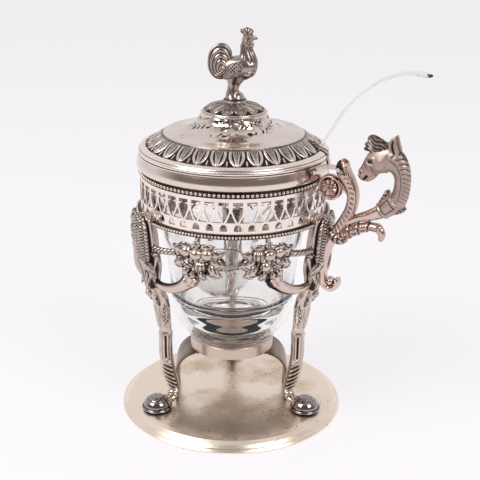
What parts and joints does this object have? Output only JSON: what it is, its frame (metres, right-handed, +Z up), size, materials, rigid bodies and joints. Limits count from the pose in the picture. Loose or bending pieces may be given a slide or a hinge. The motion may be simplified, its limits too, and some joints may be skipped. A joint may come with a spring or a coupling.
{
  "type": "jam pot",
  "caption": "Silver-plated jam pot: glass liner in a pierced gallery on ornate legs over a round base, hinged lid with rooster finial, horse-head handle and ladle.",
  "frame": {"origin": "middle of the base plate's flat underside, at the level that the pot stands on", "axes": "+Z up along the pot's axis, +X towards the handle and its hinge, +Y towards the side of the ladle"},
  "size_m": [0.1173, 0.09, 0.1539],
  "materials": {
    "silver_plate": "old silver plate, polished on the high places, brown tarnish in the recesses",
    "silver_worn": "silver plate with mottled brown tarnish and a bright rim",
    "silver_dull": "dull silver plate",
    "glass_clear": "clear pressed glass",
    "glass_ladle": "clear glass, polished"
  },
  "bodies": {
    "pot": {"base_plate": "silver_worn", "cradle_ring": "silver_dull", "cradle_strap": "silver_dull", "foot_nuts": "silver_dull", "fruit_1_left": "silver_plate", "fruit_1_right": "silver_plate", "fruit_2_left": "silver_plate", "fruit_2_right": "silver_plate", "fruit_3_left": "silver_plate", "fruit_3_right": "silver_plate", "gallery_pins": "silver_plate", "gallery_ring": "silver_plate", "garland_1_left": "silver_plate", "garland_1_right": "silver_plate", "garland_2_left": "silver_plate", "garland_2_right": "silver_plate", "garland_3_left": "silver_plate", "garland_3_right": "silver_plate", "glass_liner": "glass_clear", "handle_arm": "silver_plate", "handle_c_scroll": "silver_plate", "handle_leaf_branch": "silver_plate", "handle_neck_collar": "silver_plate", "handle_tail_scroll": "silver_plate", "handle_volute": "silver_plate", "hinge_pin": "silver_plate", "horn_1_left": "silver_plate", "horn_1_right": "silver_plate", "horn_2_left": "silver_plate", "horn_2_right": "silver_plate", "horn_3_left": "silver_plate", "horn_3_right": "silver_plate", "horse_head": "silver_plate", "leg_1": "silver_plate", "leg_2": "silver_plate", "leg_3": "silver_plate", "lower_bead_ring": "silver_plate", "upper_bead_ring": "silver_plate"},
    "lid": {"lid_collar": "silver_plate", "lid_leaf_band": "silver_plate", "lid_dome": "silver_plate", "lid_hinge_tab": "silver_plate", "lid_rosette": "silver_plate", "rooster_finial": "silver_plate", "finial_washer": "silver_dull", "finial_nut": "silver_dull"},
    "ladle": {"ladle": "glass_ladle"}
  },
  "joints": [
    {"name": "lid_hinge", "type": "hinge", "parent": "pot", "child": "lid", "pos_m": [0.0453, 0, 0.1066], "axis": [0, 1, 0], "range_deg": [0, 90]},
    {"name": "ladle_lean", "type": "hinge", "parent": "pot", "child": "ladle", "pos_m": [0.03, 0, 0.066], "axis": [0, 1, 0], "range_deg": [0, 10.6]}
  ],
  "couplings": [
    {"joint": "ladle_lean", "follows": "lid_hinge", "ratio": 0.11667}
  ]
}
